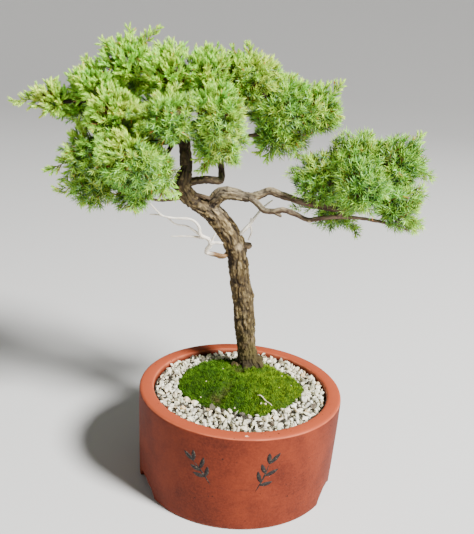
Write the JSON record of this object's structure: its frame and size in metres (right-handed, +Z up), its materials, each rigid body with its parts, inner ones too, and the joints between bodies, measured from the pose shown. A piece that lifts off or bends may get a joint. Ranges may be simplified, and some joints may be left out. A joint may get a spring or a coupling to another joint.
{
  "type": "procumbens nana juniper bonsai",
  "caption": "Slanting juniper bonsai with a bare curved trunk, bleached dead twigs and bunched needle foliage, rooted under moss and gravel in a round clay pot",
  "frame": {"origin": "Under the middle of the whole object's box, on the surface that the pot stands on", "axes": "+Z up, the longest way; +X to the right as seen from the front, towards the low right branch; +Y to the back, the shortest way"},
  "size_m": [0.4286, 0.216, 0.4713],
  "materials": {
    "clay": "matte",
    "drain_plastic": "matte",
    "bark": "matte",
    "deadwood": "matte",
    "soil": "matte",
    "gravel": "matte",
    "moss": "matte",
    "foliage": "satin"
  },
  "bodies": {
    "root": {"pot": "clay", "drain_mesh": "drain_plastic", "trunk": "bark", "deadwood_left": "deadwood", "deadwood_right": "deadwood", "soil": "soil", "gravel": "gravel", "moss": "moss", "foliage_arm_left": "foliage", "foliage_left_top": "foliage", "foliage_top_left": "foliage", "foliage_top_mid_left": "foliage", "foliage_top_mid": "foliage", "foliage_top_mid_right": "foliage", "foliage_right_top": "foliage", "foliage_right_end": "foliage", "foliage_right_under": "foliage", "foliage_front_mid": "foliage", "foliage_front_left": "foliage", "foliage_left_mid": "foliage", "foliage_left_low": "foliage", "foliage_low_front": "foliage", "foliage_low_left": "foliage", "foliage_low_mid": "foliage", "foliage_low_right": "foliage", "foliage_under_mid": "foliage", "foliage_back_left": "foliage", "foliage_back_mid_left": "foliage", "foliage_back_mid": "foliage", "foliage_back_right": "foliage", "foliage_back_low_left": "foliage", "foliage_back_arm": "foliage", "foliage_pad_left": "foliage", "foliage_pad_top": "foliage", "foliage_pad_right": "foliage", "foliage_pad_front": "foliage", "foliage_pad_tip": "foliage", "foliage_pad_low": "foliage", "foliage_pad_back": "foliage", "foliage_pad_back_right": "foliage"}
  },
  "joints": []
}
